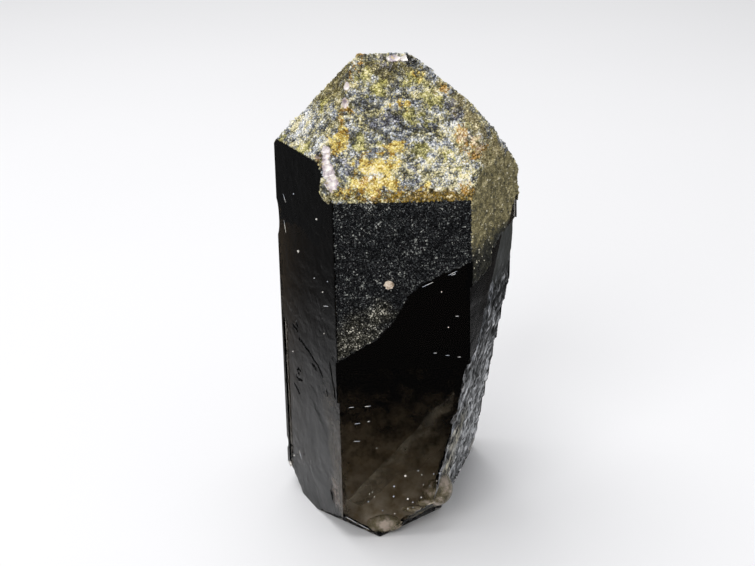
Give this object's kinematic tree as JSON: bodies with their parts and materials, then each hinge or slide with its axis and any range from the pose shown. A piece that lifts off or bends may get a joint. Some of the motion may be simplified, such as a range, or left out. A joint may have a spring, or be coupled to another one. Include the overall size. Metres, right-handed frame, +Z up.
{
  "type": "morion quartz crystal",
  "caption": "Black smoky quartz prism with a low druse-crusted point, a rough contact side and a flat cut foot, a free-standing mineral specimen.",
  "frame": {"origin": "middle of the box around the crystal, on the flat cut that it stands on", "axes": "+Z up along the crystal's long axis to its point, -Y out of the broad front face, +X to the rough right side"},
  "size_m": [0.034, 0.0254, 0.0668],
  "materials": {
    "crystal": "natural black smoky quartz: glossy prism faces, sparkling grey and ochre druse on the point and shoulders, etched grey right side, see-through brown at the foot"
  },
  "bodies": {
    "root": {"crystal": "crystal"}
  },
  "joints": []
}
